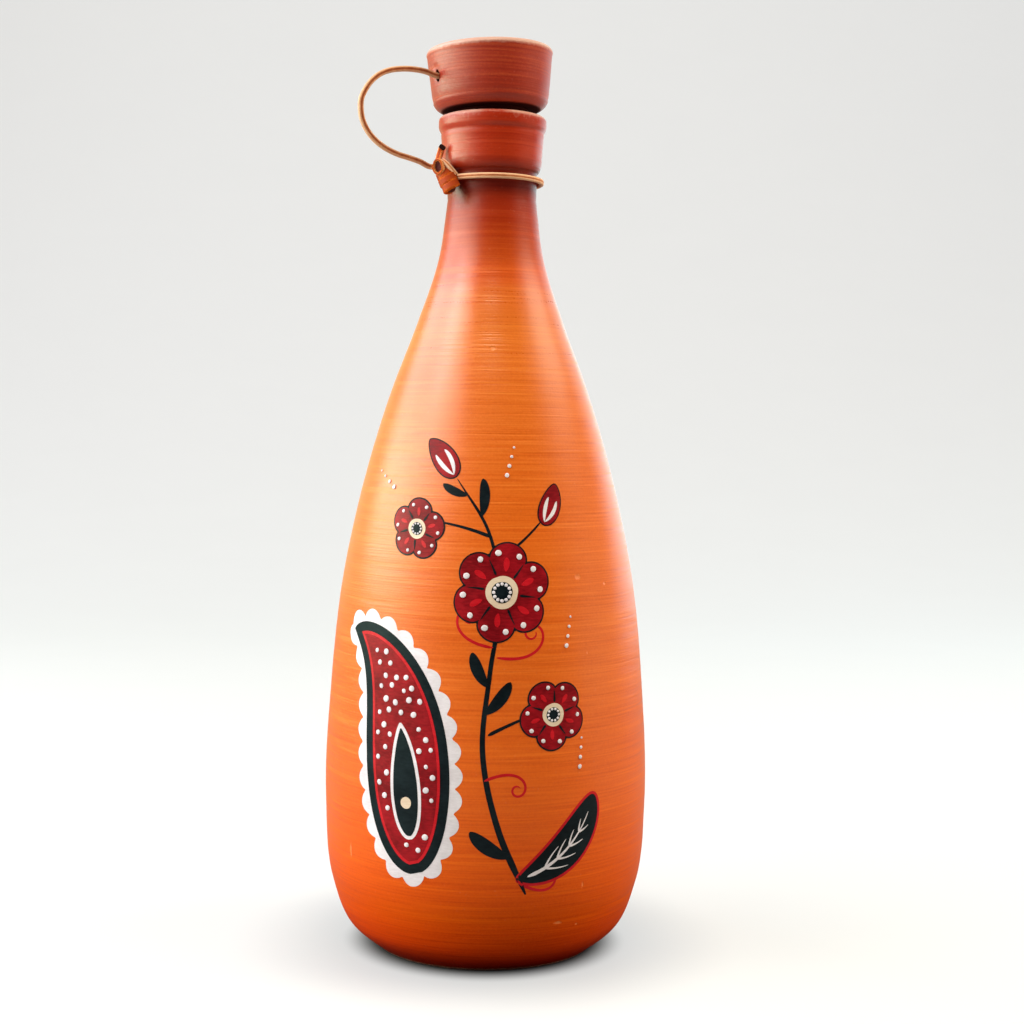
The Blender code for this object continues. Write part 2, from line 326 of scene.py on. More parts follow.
def turning_tree():
    """Turns an outline of (radius, 0, height) points about Z, with the wandering rings that fingers leave."""
    tree, start = geometry_tree("turned clay", Outline="", Segments=64, Depth=0.0, Pitch=0.01, Clay=None)
    outline, segments, depth, pitch, clay = start
    count = add(tree, "GeometryNodeAttributeDomainSize", {0: outline}).outputs["Point Count"]
    columns = maths(tree, "ADD", segments, 1.0)
    grid = add(tree, "GeometryNodeMeshGrid", {"Vertices X": columns, "Vertices Y": count}).outputs["Mesh"]
    index = add(tree, "GeometryNodeInputIndex").outputs[0]
    row = maths(tree, "FLOORED_MODULO", index, count)
    column = maths(tree, "FLOOR", maths(tree, "DIVIDE", index, count))
    angle = maths(tree, "MULTIPLY", maths(tree, "DIVIDE", column, segments), math.tau)
    links = {0: outline, "Value": add(tree, "GeometryNodeInputPosition").outputs[0], "Index": row}
    at_row = add(tree, "GeometryNodeSampleIndex", links, data_type="FLOAT_VECTOR").outputs[0]
    height = add(tree, "ShaderNodeSeparateXYZ", {0: at_row}).outputs["Z"]
    links = {"Vector": at_row, "Angle": angle}
    rotate = add(tree, "ShaderNodeVectorRotate", links, rotation_type="Z_AXIS").outputs[0]
    # Rings: noise that changes fast with height and slowly round the axis
    lift = add(tree, "ShaderNodeCombineXYZ", {"Z": maths(tree, "DIVIDE", height, pitch)}).outputs[0]
    where = vectors(tree, "ADD", vectors(tree, "MULTIPLY", rotate, (ring_wander, ring_wander, 0)), lift)
    rings = maths(tree, "SUBTRACT", noise(tree, where, 1.0, 2.0), 1.0)
    rings = maths(tree, "MULTIPLY", rings, depth)
    outward = vectors(tree, "NORMALIZE", vectors(tree, "MULTIPLY", rotate, (1, 1, 0)))
    links = {0: outward, "Scale": rings}
    push = add(tree, "ShaderNodeVectorMath", links, operation="SCALE").outputs[0]
    placed = vectors(tree, "ADD", rotate, push)
    turned = add(tree, "GeometryNodeSetPosition", {"Geometry": grid, "Position": placed}).outputs[0]
    turned = add(tree, "GeometryNodeMergeByDistance", {"Geometry": turned, "Distance": 0.00001}).outputs[0]
    return close_tree(tree, turned, clay)


def grown(seed, tree, name, **inputs):
    """The plain mesh object that a Geometry Nodes tree grows from a seed object, with these inputs set."""
    worker = seed.modifiers.new(name, "NODES")
    worker.node_group = tree
    identifiers = {item.name: item.identifier for item in tree.interface.items_tree if item.in_out == "INPUT"}
    for key, value in inputs.items():
        worker[identifiers[key]] = value
    bpy.context.view_layer.update()
    evaluated = seed.evaluated_get(bpy.context.evaluated_depsgraph_get())
    mesh = bpy.data.meshes.new_from_object(evaluated)
    seed.modifiers.remove(worker)
    bpy.data.objects.remove(seed, do_unlink=True)
    mesh.name = name
    return new_object(name, mesh)


def seed_points(points, joined=False):
    """A seed object that holds these points, joined to a line or loose."""
    mesh = bpy.data.meshes.new("seed")
    edges = [(k, k + 1) for k in range(len(points) - 1)] if joined else []
    mesh.from_pydata([tuple(p) for p in points], edges, [])
    return new_object("seed", mesh)


def seed_outline(points, inset):
    """A seed object that holds an outline of (radius, height) points, drawn in towards the axis."""
    return seed_points([(max(r - inset, 0) if r > 0 else 0, 0, z) for r, z in points], joined=True)


def face_out(piece):
    """Turns every face of a closed mesh outwards."""
    work = bmesh.new()
    work.from_mesh(piece.data)
    bmesh.ops.recalc_face_normals(work, faces=work.faces)
    work.to_mesh(piece.data)
    work.free()


def attribute(mesh, name, kind, values):
    """Stores one value for each vertex under this name."""
    made = mesh.attributes.new(name, kind, "POINT")
    field = "vector" if kind == "FLOAT_VECTOR" else "value"
    made.data.foreach_set(field, np.array(values, np.float32).ravel())


def turning_marks():
    """Shader group: marks of several kinds that run round the axis, each from 0 to 1."""
    tree = bpy.data.node_groups.new("turning marks", "ShaderNodeTree")
    here = add(tree, "ShaderNodeTexCoord").outputs["Object"]
    ends = []
    for name, across, up, detail in mark_kinds:
        tree.interface.new_socket(name=name, in_out="OUTPUT", socket_type="NodeSocketFloat")
        where = vectors(tree, "MULTIPLY", here, (across, across, up))
        ends.append(noise(tree, where, 1.0, detail))
    add(tree, "NodeGroupOutput", dict(enumerate(ends)))
    return tree


def colour_ramp(tree, share, stops):
    """The colour at this share of a row of stops, each a place from 0 to 1 and its colour."""
    node = add(tree, "ShaderNodeValToRGB", {"Fac": share})
    elements = node.color_ramp.elements
    for k, (place, colour) in enumerate(stops):
        if 0 < k < len(stops) - 1:
            elements.new(place)
        stop = elements[k] if k < len(stops) - 1 else elements[-1]
        stop.position = place
        stop.color = (*colour, 1)
    return node.outputs["Color"]


def set_relief(tree, shader, relief, strength, depth):
    """Bumps the surface by the relief, this deep where it goes from 0 to 1."""
    bump = add(tree, "ShaderNodeBump", {"Height": relief, "Strength": strength, "Distance": depth})
    tree.links.new(bump.outputs[0], shader.inputs["Normal"])


def chip_mask(tree, here, ragged, nicks):
    """1 in the small chips at these places, with a ragged edge, and 0 beside them."""
    chips = 0.0
    for place, width, tall in nicks:
        away = vectors(tree, "SUBTRACT", here, place)
        away = vectors(tree, "MULTIPLY", away, (1 / width, 1 / width, 1 / tall))
        away = maths(tree, "ADD", vectors(tree, "LENGTH", away), ragged)
        chips = maths(tree, "MAXIMUM", chips, ranged(tree, away, 0.9, 1.5, 1.0, 0.0))
    return chips


marks_group = turning_marks()


def clay_material(name, deep, middle, pale, tints_shade_and_shine, rough=(0.32, 0.43), nicks=()):
    """Unglazed burnished clay: colour and gloss follow the turning marks, and nicks are small pale chips.

    The table of heights holds, from the foot up, the tint and the shine that the clay has there. In
    the body's table the dark foot and the dark band under the collar and the cord loop are painted
    shade, and the darker neck is partly painted shade.
    """
    material, tree, shader = new_material(name, {})
    marks = add(tree, "ShaderNodeGroup", node_tree=marks_group)
    fine, medium, broad, scored, grain = marks.outputs
    scored = ranged(tree, scored, 0.57, 0.72)
    tone = 0.0
    for mark, weight in ((fine, 0.52), (medium, 0.16), (broad, 0.09), (grain, 0.23), (scored, 0.17)):
        tone = maths(tree, "MULTIPLY_ADD", mark, weight, tone)
    colour = colour_ramp(tree, tone, [(0.34, deep), (0.50, middle), (0.70, pale)])
    here = add(tree, "ShaderNodeTexCoord").outputs["Object"]
    height = add(tree, "ShaderNodeSeparateXYZ", {0: here}).outputs["Z"]
    lowest, highest = tints_shade_and_shine[0][0], tints_shade_and_shine[-1][0]
    share = ranged(tree, height, lowest, highest)
    stops = [((level - lowest) / (highest - lowest), tint, gloss) for level, tint, gloss in tints_shade_and_shine]
    tint_and_shade = colour_ramp(tree, share, [(place, tint) for place, tint, gloss in stops])
    shine = colour_ramp(tree, share, [(place, (gloss, gloss, gloss)) for place, tint, gloss in stops])
    colour = mixed(tree, 1.0, colour, tint_and_shade, blend_type="MULTIPLY")
    ragged = noise(tree, here, 900.0, 2.0)
    chips = chip_mask(tree, here, ragged, nicks)
    fresh = (*[min(1, 1.25 * c + 0.08) for c in pale], 1)
    colour = mixed(tree, maths(tree, "MULTIPLY", chips, 0.55), colour, fresh)
    # The wear attribute: above 0 the clay turns pale where it is worn and where a highlight is painted; below
    # 0 it is darkened as painted shade
    wear_and_painted_light = add(tree, "ShaderNodeAttribute", attribute_name="wear_and_painted_light").outputs["Fac"]
    rubbed = maths(tree, "MULTIPLY_ADD", ragged, 0.6, wear_and_painted_light)
    colour = mixed(tree, ranged(tree, rubbed, 0.40, 1.20, high=0.8), colour, wear_and_highlight_clay)
    painted_shade = ranged(tree, wear_and_painted_light, end=-1.0, high=0.93)
    colour = mixed(tree, painted_shade, colour, painted_shade_clay)
    tree.links.new(colour, shader.inputs["Base Color"])
    gloss = maths(tree, "MULTIPLY", shine, maths(tree, "SUBTRACT", 1.0, painted_shade))
    tree.links.new(gloss, shader.inputs["Specular IOR Level"])
    polish = ranged(tree, shine, low=1.15, high=0.80)
    polish = maths(tree, "MULTIPLY", ranged(tree, tone, 0.36, 0.68, *rough), polish)
    tree.links.new(maths(tree, "MAXIMUM", polish, painted_shade), shader.inputs["Roughness"])
    relief = maths(tree, "MULTIPLY", medium, 0.6)
    for mark, weight in ((fine, 0.8), (grain, 0.25), (scored, -0.2), (chips, -2.5)):
        relief = maths(tree, "MULTIPLY_ADD", mark, weight, relief)
    set_relief(tree, shader, relief, 0.36, 0.00022)
    return material


outer = [tuple(p) for p in smooth_curve(body_rings, 230)]


def body_radius(height):
    """Radius of the body's skin at this height."""
    return float(np.interp(height, [z for r, z in outer], [r for r, z in outer])) - skin_inset


def around(azimuth, radius, height):
    """The point at this azimuth, counted from the front (-Y) towards the left (-X)."""
    return Vector((-radius * math.sin(azimuth), -radius * math.cos(azimuth), height))


# Each nick: degrees to the right of the front, height, half its width, half its height
nick_places = [
    (1.8, 0.1995, 0.0012, 0.0008),
    (27.0, 0.0906, 0.0010, 0.0005),
    (38.2, 0.1034, 0.0004, 0.0006),
    (50.2, 0.1247, 0.0009, 0.0006),
    (36.0, 0.1273, 0.0014, 0.0010),
    (40.3, 0.0478, 0.0005, 0.0011),
    (-53.5, 0.0375, 0.0006, 0.0030),
    (35.7, 0.0300, 0.0005, 0.0013),
    (27.4, 0.0183, 0.0018, 0.0006),
    (36.0, 0.0167, 0.0007, 0.0004),
    (118.0, 0.0820, 0.0010, 0.0006),
    (163.0, 0.1410, 0.0012, 0.0007),
    (-131.0, 0.0560, 0.0008, 0.0012),
]
body_clay = clay_material(
    "burnished clay",
    deep=(0.69, 0.106, 0.005),
    middle=(0.79, 0.145, 0.010),
    pale=(0.87, 0.190, 0.021),
    # Tints and shine by height: the dark foot and the dark band under the collar and the cord loop are
    # painted shade, and the darker neck is partly painted shade
    tints_shade_and_shine=[
        (0.0, (0.30, 0.05, 0.02), 0.03),
        (0.0035, (0.59, 0.11, 0.05), 0.03),
        (0.009, (0.87, 0.33, 0.06), 0.04),
        (0.020, (0.92, 0.54, 0.05), 0.06),
        (0.060, (1.0, 0.82, 0.28), 0.38),
        (0.100, (1.02, 0.96, 0.6), 0.48),
        (0.145, (1.00, 0.98, 0.7), 0.50),
        (0.180, (0.96, 1.00, 0.8), 0.64),
        (0.205, (0.95, 1.04, 0.46), 0.95),
        (0.219, (0.90, 0.84, 0.40), 1.00),
        (0.2212, (0.86, 0.65, 0.14), 0.84),
        (0.2265, (0.83, 0.55, 0.06), 0.70),
        (0.2285, (0.71, 0.45, 0.01), 0.60),
        (0.2376, (0.57, 0.27, 0.01), 0.44),
        (0.2381, (0.78, 0.46, 0.08), 0.60),
        (0.2387, (0.55, 0.25, 0.01), 0.42),
        (0.245, (0.47, 0.16, 0.01), 0.38),
        (0.2502, (0.34, 0.10, 0.01), 0.34),
        (0.2530, (0.19, 0.035, 0.015), 0.28),
        (0.2585, (0.22, 0.045, 0.020), 0.30),
        (0.2612, (0.42, 0.12, 0.02), 0.45),
        (0.2645, (0.59, 0.185, 0.02), 0.55),
        (0.278, (0.51, 0.13, 0.04), 0.40),
    ],
    nicks=[
        (around(-math.radians(turn), body_radius(height), height), width, tall)
        for turn, height, width, tall in nick_places
    ],
)

inner = [tuple(p) for p in smooth_curve(body_rings, 60)]
inside = [(0, floor_thickness)] + line((0.004, floor_thickness), (0.036, floor_thickness), 6)
inside += [(r - wall, z) for r, z in inner if z > floor_thickness + 0.004 and r - wall > bore_radius]
inside += line((bore_radius, 0.246), (mouth_radius, rim_height - lip_round), 10)
inside += arc((mouth_radius + lip_round, rim_height - lip_round), (lip_round, lip_round), 180, 90, 6)
collar = line((neck_radius + 0.0001, 0.2515), (neck_radius + 0.0002, collar_bottom), 6)
collar += arc((collar_low_radius - 0.0015, score_height + 0.0002), (0.0017, 0.0044), -85, -3, 12)
bead_bottom = rim_height - bead_height
collar_top = (collar_high_radius, bead_bottom - 0.0012)
collar += line((collar_low_radius + 0.0002, score_height + 0.0008), collar_top, 9)
collar += [
    collar_top,
    (collar_high_radius - 0.0001, bead_bottom - 0.0006),
    (collar_high_radius + 0.0001, bead_bottom - 0.0001),
    (collar_high_radius + 0.0004, bead_bottom + 0.0004),
    (bead_radius - 0.00015, bead_bottom + 0.0009),
    (bead_radius, bead_bottom + 0.0015),
]
collar += arc((bead_radius - lip_round, rim_height - lip_round), (lip_round, lip_round), 0, 90, 9)
under = line((foot_radius, 0), (0.001, 0), 8)[1:] + [(0, 0)]
outline = inside + collar[::-1] + outer[::-1] + under

bottle = grown(
    seed_outline(outline, skin_inset),
    turning_tree(),
    "bottle_body",
    Segments=bottle_segments,
    Depth=throwing_depth,
    Pitch=throwing_pitch,
    Clay=body_clay,
)
face_out(bottle)


def rise(value, start, end):
    """0 up to start, 1 from end on."""
    return min(1, max(0, (value - start) / (end - start)))


# The edge of the foot is rubbed pale. The rim of the mouth is paler too, partly worn and partly a painted
# highlight that is strongest to the left and right
rubbed = []
for vertex in bottle.data.vertices:
    x, y, z = vertex.co
    spread = math.hypot(x, y)
    rim_wear_and_highlight = 0.75 * rise(z, rim_height - 0.0016, rim_height - 0.0006)
    rim_wear_and_highlight *= rise(spread, mouth_radius, mouth_radius + 0.002)
    rim_wear_and_highlight *= 0.35 + 0.65 * rise(abs(x - 0.0005), 0.0022, 0.0060)
    at_foot = 0.7 * rise(-z, -0.0012, -0.0004)
    at_foot *= rise(spread, foot_radius - 0.0015, foot_radius - 0.0005)
    rubbed.append(max(rim_wear_and_highlight, at_foot))
attribute(bottle.data, "wear_and_painted_light", "FLOAT", rubbed)
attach(bottle, "bottle")
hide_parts("bottle")


# Stopper. Turned in one piece from the same clay: a tapered head with a broad bevel under it, a
# shallow cup in its top, and a tapered plug. It sits a little crooked, and is pierced for the cord.
plug_length = 0.0180
head_height = 0.0202
head_top = plug_length + head_height
bevel_top = plug_length + 0.0047
bevel_radius = 0.0197
shoulder_height = plug_length + 0.0027
shoulder_radius = 0.0192
under_radius = 0.0156
under_reach = 0.0042
under_rise = 0.0048
head_top_radius = 0.0213
head_lip_round = 0.0016
cup_depth = 0.0145
cup_wall = 0.0048
cup_corner = 0.0035
plug_top_radius = 0.0123
plug_end_radius = 0.0105
plug_end_round = 0.0015
pivot_height = rim_height + 0.0022 - plug_length
stopper_lean = math.radians(2.0)
stopper_place = Matrix.Translation((0, 0, pivot_height)) @ Matrix.Rotation(-stopper_lean, 4, "Y")
cord_hole_azimuth = math.radians(60.5)
cord_hole_height = plug_length + 0.0103
cord_hole_width = 0.0024
cord_hole_length = 0.0040
stopper_segments = 200
stopper_ring_depth = 0.00012
stopper_ring_pitch = 0.0030
dent_reach = 0.0021
dent_depth = 0.00042
crease_rise = 0.0029
crease_reach = 0.0017
crease_depth = 0.00035
crease_narrowing = 2.2


def head_radius(height):
    """Outside of the head where it tapers, at this height over the plug's end."""
    share = (height - bevel_top) / (head_top - bevel_top)
    return bevel_radius + share * (head_top_radius - bevel_radius)


# Darker and redder than the body's clay, which is partly painted shade
stopper_clay = clay_material(
    "stopper clay",
    deep=(0.31, 0.018, 0.003),
    middle=(0.37, 0.023, 0.004),
    pale=(0.50, 0.055, 0.009),
    tints_shade_and_shine=[(0.260, (1, 1, 1), 0.45), (0.300, (1, 1, 1), 0.60)],
    rough=(0.42, 0.54),
)
cup_floor = head_top - cup_depth
corner_height = cup_floor + cup_corner
corner_radius = head_radius(corner_height) - cup_wall - cup_corner
lip_height = head_top - head_lip_round
lip_inside = head_radius(lip_height) - cup_wall + head_lip_round
lip = (head_lip_round, head_lip_round)
outline = [(0, cup_floor)] + line((0.001, cup_floor), (corner_radius, cup_floor), 8)
outline += arc((corner_radius, corner_height), (cup_corner, cup_corner), -90, -5, 9)
cup_foot = (head_radius(corner_height) - cup_wall, corner_height + 0.0008)
outline += line(cup_foot, (head_radius(lip_height) - cup_wall, lip_height), 12)
outline += arc((lip_inside, lip_height), lip, 180, 90, 8)
outline += arc((head_top_radius - head_lip_round, lip_height), lip, 85, 0, 9)
outline += line((head_radius(lip_height) - 0.00005, lip_height - 0.0007), (bevel_radius, bevel_top), 26)
bevel_edge = (bevel_radius - 0.0001, bevel_top - 0.0004)
outline += line(bevel_edge, (shoulder_radius + 0.00007, shoulder_height + 0.0003), 6)
outline += arc((under_radius, plug_length + under_rise), (under_reach, under_rise), -26, -90, 9)
outline += line((under_radius - 0.0006, plug_length), (plug_top_radius + 0.0008, plug_length), 5)
outline += line((plug_top_radius + 0.0003, plug_length - 0.0002), (plug_end_radius + 0.0002, 0.0020), 14)
plug_corner = (plug_end_round, plug_end_round)
outline += arc((plug_end_radius - plug_end_round, plug_end_round), plug_corner, 0, -90, 6)
outline += line((plug_end_radius - 0.003, 0), (0.001, 0), 5) + [(0, 0)]
stopper = grown(
    seed_outline(outline, skin_inset / 2),
    turning_tree(),
    "stopper_turned",
    Segments=stopper_segments,
    Depth=stopper_ring_depth,
    Pitch=stopper_ring_pitch,
    Clay=stopper_clay,
)
face_out(stopper)

# The clay was pushed in round the hole while it was soft, with a small crease left above it
hole_radius = head_radius(cord_hole_height)
hole_mouth = around(cord_hole_azimuth, hole_radius, cord_hole_height)
crease = around(cord_hole_azimuth + math.radians(2), hole_radius, cord_hole_height + crease_rise)
hole_inward = Vector((math.sin(cord_hole_azimuth), math.cos(cord_hole_azimuth), 0))
hole_across = Vector((0, 0, 1)).cross(hole_inward)
for vertex in stopper.data.vertices:
    to_hole = (vertex.co - hole_mouth).length / dent_reach
    to_crease = vertex.co - crease
    to_crease.z *= crease_narrowing
    pushed = dent_depth * math.exp(-to_hole**2)
    pushed += crease_depth * math.exp(-(to_crease.length / crease_reach) ** 2)
    vertex.co += hole_inward * pushed
drill = new_object("drill", bpy.data.meshes.new("drill"))
work = bmesh.new()
bmesh.ops.create_cone(work, cap_ends=True, segments=28, radius1=0.5, radius2=0.5, depth=3 * cup_wall)
work.transform(Matrix.Diagonal((cord_hole_width, cord_hole_length, 1, 1)))
drill_turn = hole_inward.to_track_quat("Z", "Y").to_matrix().to_4x4()
work.transform(Matrix.Translation(hole_mouth + hole_inward * cup_wall / 2) @ drill_turn)
work.to_mesh(drill.data)
work.free()
cut = stopper.modifiers.new("cord hole", "BOOLEAN")
cut.operation = "DIFFERENCE"
cut.object = drill
bpy.context.view_layer.update()
pierced = bpy.data.meshes.new_from_object(stopper.evaluated_get(bpy.context.evaluated_depsgraph_get()))
stopper.modifiers.remove(cut)
pierced.materials.clear()
pierced.materials.append(stopper_clay)
stopper.data = pierced
stopper.data.name = "stopper_turned"

# The lip is paler, partly worn and partly a painted highlight. The plug and the inside of the hole are
# darkened as painted shade, the plug most where it meets the head
rubbed = []
for vertex in stopper.data.vertices:
    height = vertex.co.z
    lip_wear_and_highlight = 1.1 * rise(height, head_top - 0.0022, head_top - 0.0008)
    underside_shade = 1 - rise(height, plug_length + 0.0001, plug_length + 0.0004)
    underside_shade *= 0.5 + 0.5 * rise(height, plug_length - 0.008, plug_length - 0.001)
    aside = vertex.co.dot(hole_across) / cord_hole_width
    off_axis = math.hypot(aside, (height - cord_hole_height) / cord_hole_length)
    in_hole = off_axis < 0.52 and (vertex.co - hole_mouth).length < 1.3 * cup_wall
    rubbed.append(-0.85 if in_hole else lip_wear_and_highlight - underside_shade)
attribute(stopper.data, "wear_and_painted_light", "FLOAT", rubbed)
stopper.data.transform(stopper_place)
stopper.data.shade_smooth()
stopper.data.set_sharp_from_angle(angle=math.radians(55))
bpy.data.objects.remove(drill, do_unlink=True)
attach(stopper, "stopper")
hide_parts("stopper")


# Cord. One lace of tan leather, cut square and a little under 2 mm wide, whose cut edges are
# paler than its faces. It loops round the neck, is knotted there, and holds the stopper.
lace_width = 0.0018
lace_thickness = 0.0015
lace_easing = 0.00042
# Colour of a cut end of lace; on the knots' hearts it is laid on as painted shade
cut_end_and_shade_leather = (0.030, 0.008, 0.008, 1)
cord_radius = 0.0009
cord_gap = 0.0003
loop_height = 0.2562
knot_azimuth = math.radians(55)
knot_height = 0.2566
knot_radius = 0.0030
knot_length = 0.0112
knot_tilt = math.radians(55)
loop_reach = math.radians(11)
end_knot_length = 0.0056
end_knot_radius = 0.0026
eye_width = 0.0037
eye_height = 0.0049
bow_azimuth = math.radians(62)
tether_end_azimuth = math.radians(85)
tether_end_out = 0.0028
tether_end_drop = 0.0012
# Shares of the way from the stopper's hole down to the knot, and how far out the lace hangs there
bow = [
    (-0.031, 0.0043),
    (-0.038, 0.0089),
    (-0.024, 0.0133),
    (0.003, 0.0168),
    (0.054, 0.0201),
    (0.135, 0.0229),
    (0.240, 0.0250),
    (0.349, 0.0262),
    (0.457, 0.0261),
    (0.572, 0.0252),
    (0.684, 0.0231),
    (0.779, 0.0200),
    (0.850, 0.0162),
    (0.898, 0.0120),
    (0.925, 0.0079),
    (0.956, 0.0039),
]


def stored(tree, name, kind):
    """What each point carries under this name."""
    return add(tree, "GeometryNodeInputNamedAttribute", {"Name": name}, data_type=kind).outputs[0]


def lace_tree():
    """Lays a square lace with eased corners along a line of points, its broad face turned as they say."""
    usual = {"Width": lace_width, "Thickness": lace_thickness, "Easing": lace_easing, "Rub": 2.0}
    tree, start = geometry_tree("leather lace", Route="", **usual, Leather=None)
    route, width, thickness, easing, rub, leather = start
    middle = add(tree, "GeometryNodeMeshToCurve", {"Mesh": route}).outputs[0]
    links = {"Curve": middle, "Normal": stored(tree, "facing", "FLOAT_VECTOR")}
    middle = add(tree, "GeometryNodeSetCurveNormal", links, mode="FREE").outputs[0]
    links = {"Width": thickness, "Height": width}
    section = add(tree, "GeometryNodeCurvePrimitiveQuadrilateral", links, mode="RECTANGLE").outputs[0]
    links = {"Curve": section, "Radius": easing, "Count": 2}
    section = add(tree, "GeometryNodeFilletCurve", links, mode="POLY").outputs[0]
    section = add(tree, "GeometryNodeResampleCurve", {"Curve": section, "Count": 20}, mode="COUNT").outputs[0]
    here = add(tree, "GeometryNodeInputPosition").outputs[0]
    across = maths(tree, "ABSOLUTE", add(tree, "ShaderNodeSeparateXYZ", {0: here}).outputs["Y"])
    across = maths(tree, "MULTIPLY", maths(tree, "DIVIDE", across, width), rub)
    links = {"Geometry": section, "Name": "edge", "Value": across}
    section = add(tree, "GeometryNodeStoreNamedAttribute", links, data_type="FLOAT").outputs[0]
    links = {"Curve": middle, "Profile Curve": section, "Fill Caps": True}
    return close_tree(tree, add(tree, "GeometryNodeCurveToMesh", links).outputs[0], leather)


def lace_piece(
    name, route, facing, width=lace_width, thickness=lace_thickness, easing=lace_easing,
    rub=2.0, cut=0.0, finish=None,
):
    """A length of lace along the route; facing is the way its broad face looks, or one way for each point.

    rub is how pale its edges are, cut how far from its far end the cut darkens it, finish its leather.
    """
    seed = seed_points(route, joined=True)
    steps = np.linalg.norm(np.diff(np.array(route), axis=0), axis=1)
    left = np.concatenate([np.cumsum(steps[::-1])[::-1], [0]])
    facing = [facing] * len(route) if isinstance(facing, Vector) else facing
    attribute(seed.data, "facing", "FLOAT_VECTOR", [tuple(f) for f in facing])
    attribute(seed.data, "cut", "FLOAT", np.clip(1.4 - left / cut, 0, 1) if cut else np.zeros(len(route)))
    sizes = {"Width": width, "Thickness": thickness, "Easing": easing, "Rub": rub}
    made = grown(seed, lace_grower, name, **sizes, Leather=finish or leather)
    face_out(made)
    return made


def leather_material(name, dark, middle, pale):
    """Waxed leather: dark grain on the faces, rubbed paler along the cut edges."""
    material, tree, shader = new_material(name, {"Specular IOR Level": 0.14})
    edge = add(tree, "ShaderNodeAttribute", attribute_name="edge").outputs["Fac"]
    cut = add(tree, "ShaderNodeAttribute", attribute_name="cut").outputs["Fac"]
    here = add(tree, "ShaderNodeTexCoord").outputs["Object"]
    grain = noise(tree, here, 2600.0, 4.0)
    patch = noise(tree, here, 420.0, 2.0)
    rubbed = maths(tree, "MULTIPLY_ADD", grain, 0.6, edge)
    rubbed = maths(tree, "MULTIPLY_ADD", patch, 0.5, rubbed)
    rubbed = maths(tree, "MULTIPLY", rubbed, 0.6)
    colour = colour_ramp(tree, rubbed, [(0.46, dark), (0.66, middle), (0.88, pale)])
    # Towards the cut the colour turns to that of a cut end; on the knots' hearts this is painted shade
    tree.links.new(mixed(tree, cut, colour, cut_end_and_shade_leather), shader.inputs["Base Color"])
    tree.links.new(ranged(tree, grain, low=0.52, high=0.75), shader.inputs["Roughness"])
    pores = add(tree, "ShaderNodeTexVoronoi", {"Vector": here, "Scale": 2400.0}).outputs["Distance"]
    set_relief(tree, shader, maths(tree, "ADD", pores, grain), 0.5, 0.0001)
    return material


leather = leather_material("tan leather", (0.32, 0.070, 0.028), (0.58, 0.19, 0.075), (0.80, 0.46, 0.28))
waxed_leather = leather_material(
    "waxed leather", (0.36, 0.042, 0.004), (0.64, 0.125, 0.006), (0.86, 0.36, 0.14)
)
# Paler leather for the strand across the knot, a painted highlight
painted_highlight_leather = leather_material("pale leather", (0.62, 0.20, 0.08), (0.84, 0.40, 0.20), (0.96, 0.60, 0.40))
dark_leather = leather_material(
    "dark leather", (0.075, 0.008, 0.008), (0.22, 0.045, 0.025), (0.48, 0.17, 0.10)
)
lace_grower = lace_tree()

outer_hole = stopper_place @ around(cord_hole_azimuth, hole_radius, cord_hole_height)
inner_hole = stopper_place @ around(cord_hole_azimuth, hole_radius - cup_wall, cord_hole_height)
stand_off = neck_radius + cord_gap + cord_radius + knot_radius
knot_centre = around(knot_azimuth, stand_off, knot_height)
knot_side = Vector((math.cos(knot_azimuth), -math.sin(knot_azimuth), 0))
knot_along = knot_side * math.cos(knot_tilt) + Vector((0, 0, -math.sin(knot_tilt)))
knot_top = knot_centre - knot_along * knot_length / 2
tether_end = knot_top + around(tether_end_azimuth, tether_end_out, -tether_end_drop)

bow_points = [outer_hole.lerp(tether_end, share) + around(bow_azimuth, reach, 0) for share, reach in bow]
in_knot = knot_top + knot_along * 0.0012
tether_route = smooth_curve([inner_hole, outer_hole, *bow_points, tether_end, in_knot], 120)
across_bow = Vector((math.cos(bow_azimuth), -math.sin(bow_azimuth), 0))
tether = lace_piece("tether_lace", tether_route, across_bow, rub=2.9)
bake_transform(tether)
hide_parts("tether_cord")

turns = np.linspace(knot_azimuth - loop_reach, knot_azimuth + loop_reach - math.tau, 150)
loop_radius = neck_radius + 2 * cord_gap + cord_radius
loop_route = [around(turn, loop_radius, loop_height) for turn in turns]
loop_facing = [around(turn, 1, 0) for turn in turns]
neck_loop = lace_piece("neck_lace", loop_route, loop_facing, rub=4.5)
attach(neck_loop, "neck_tie")
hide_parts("neck_loop")

tail_points = [
    (-0.0182, -0.0088, 0.2604),
    (-0.0178, -0.0082, 0.2622),
    (-0.0174, -0.0077, 0.2640),
    (-0.0170, -0.0077, 0.2654),
    (-0.0167, -0.0084, 0.2662),
    (-0.0165, -0.0093, 0.2663),
]
tail_route = smooth_curve(tail_points, 36)
upright_face = Vector((-0.57, -0.82, 0))
bent_face = Vector((-0.57, 0, -0.82))
tail_facing = [
    upright_face.lerp(bent_face, rise(share, 0.55, 0.95)).normalized()
    for share in np.linspace(0, 1, len(tail_route))
]
tail = lace_piece("cut_tail", tail_route, tail_facing, width=0.0022, cut=0.0003, finish=waxed_leather)
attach(tail, "neck_tie")
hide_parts("cord_tail")


